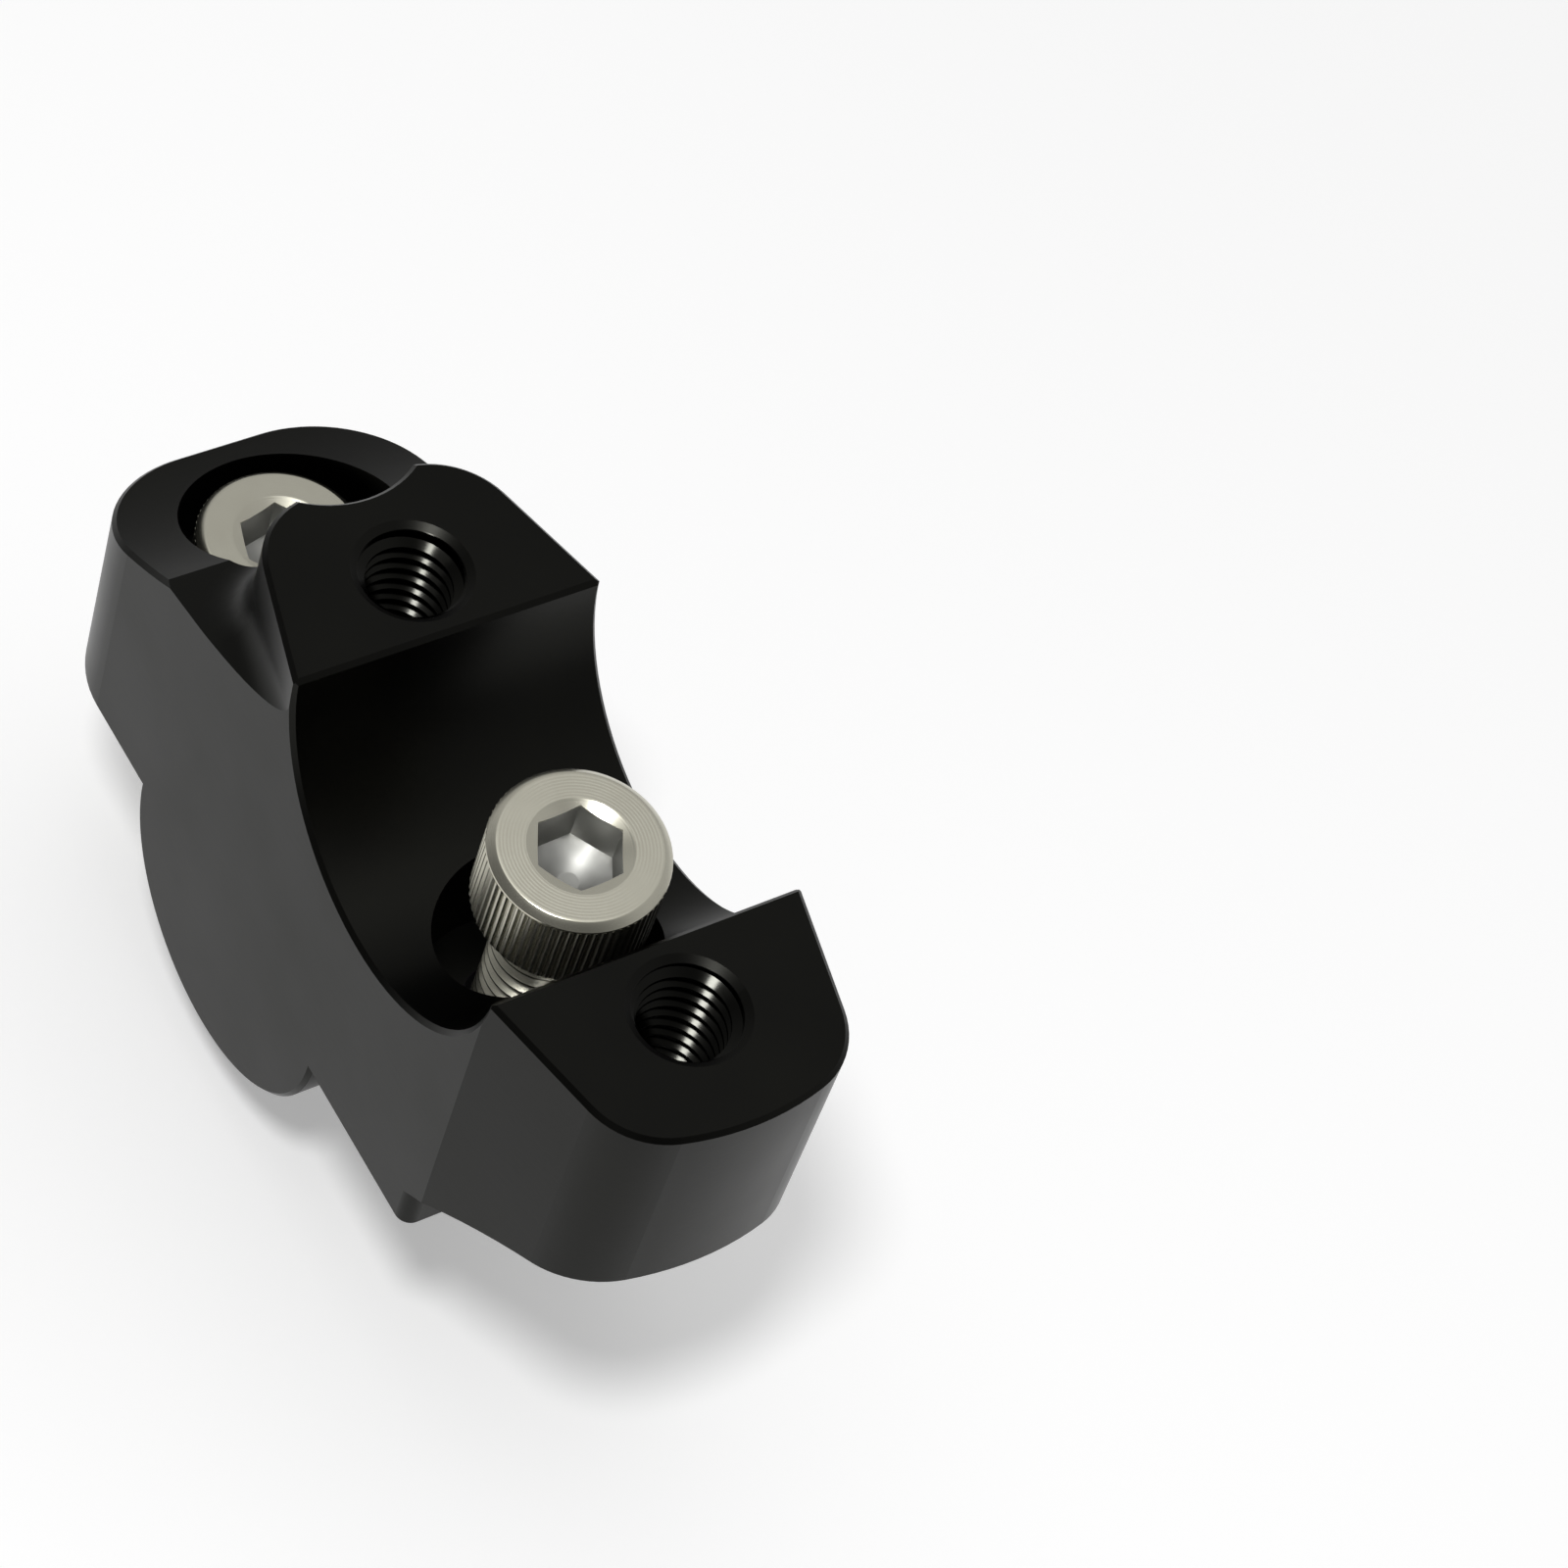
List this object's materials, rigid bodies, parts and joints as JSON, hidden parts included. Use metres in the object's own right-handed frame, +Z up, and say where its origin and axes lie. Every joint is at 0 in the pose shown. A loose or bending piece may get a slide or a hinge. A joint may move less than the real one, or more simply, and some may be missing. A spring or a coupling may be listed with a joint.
{
  "type": "motorcycle handlebar riser",
  "caption": "Black machined riser block that lifts and sets back one side of a handlebar, with a half-round saddle above and a half-round boss below, and its cap screws.",
  "frame": {"origin": "on the plane of the two clamp faces, midway between the two threaded holes; the handlebar's centre line is 0.7 mm above it", "axes": "+X along the handlebar, +Y towards the shelf end, +Z up along the screws"},
  "size_m": [0.0254, 0.0758, 0.0549],
  "materials": {
    "anodised_block": "black anodised, satin",
    "stainless_screws": "bright turned stainless steel"
  },
  "bodies": {
    "root": {"riser_block": "anodised_block", "shelf_screw": "stainless_screws", "saddle_screw": "stainless_screws"}
  },
  "joints": []
}
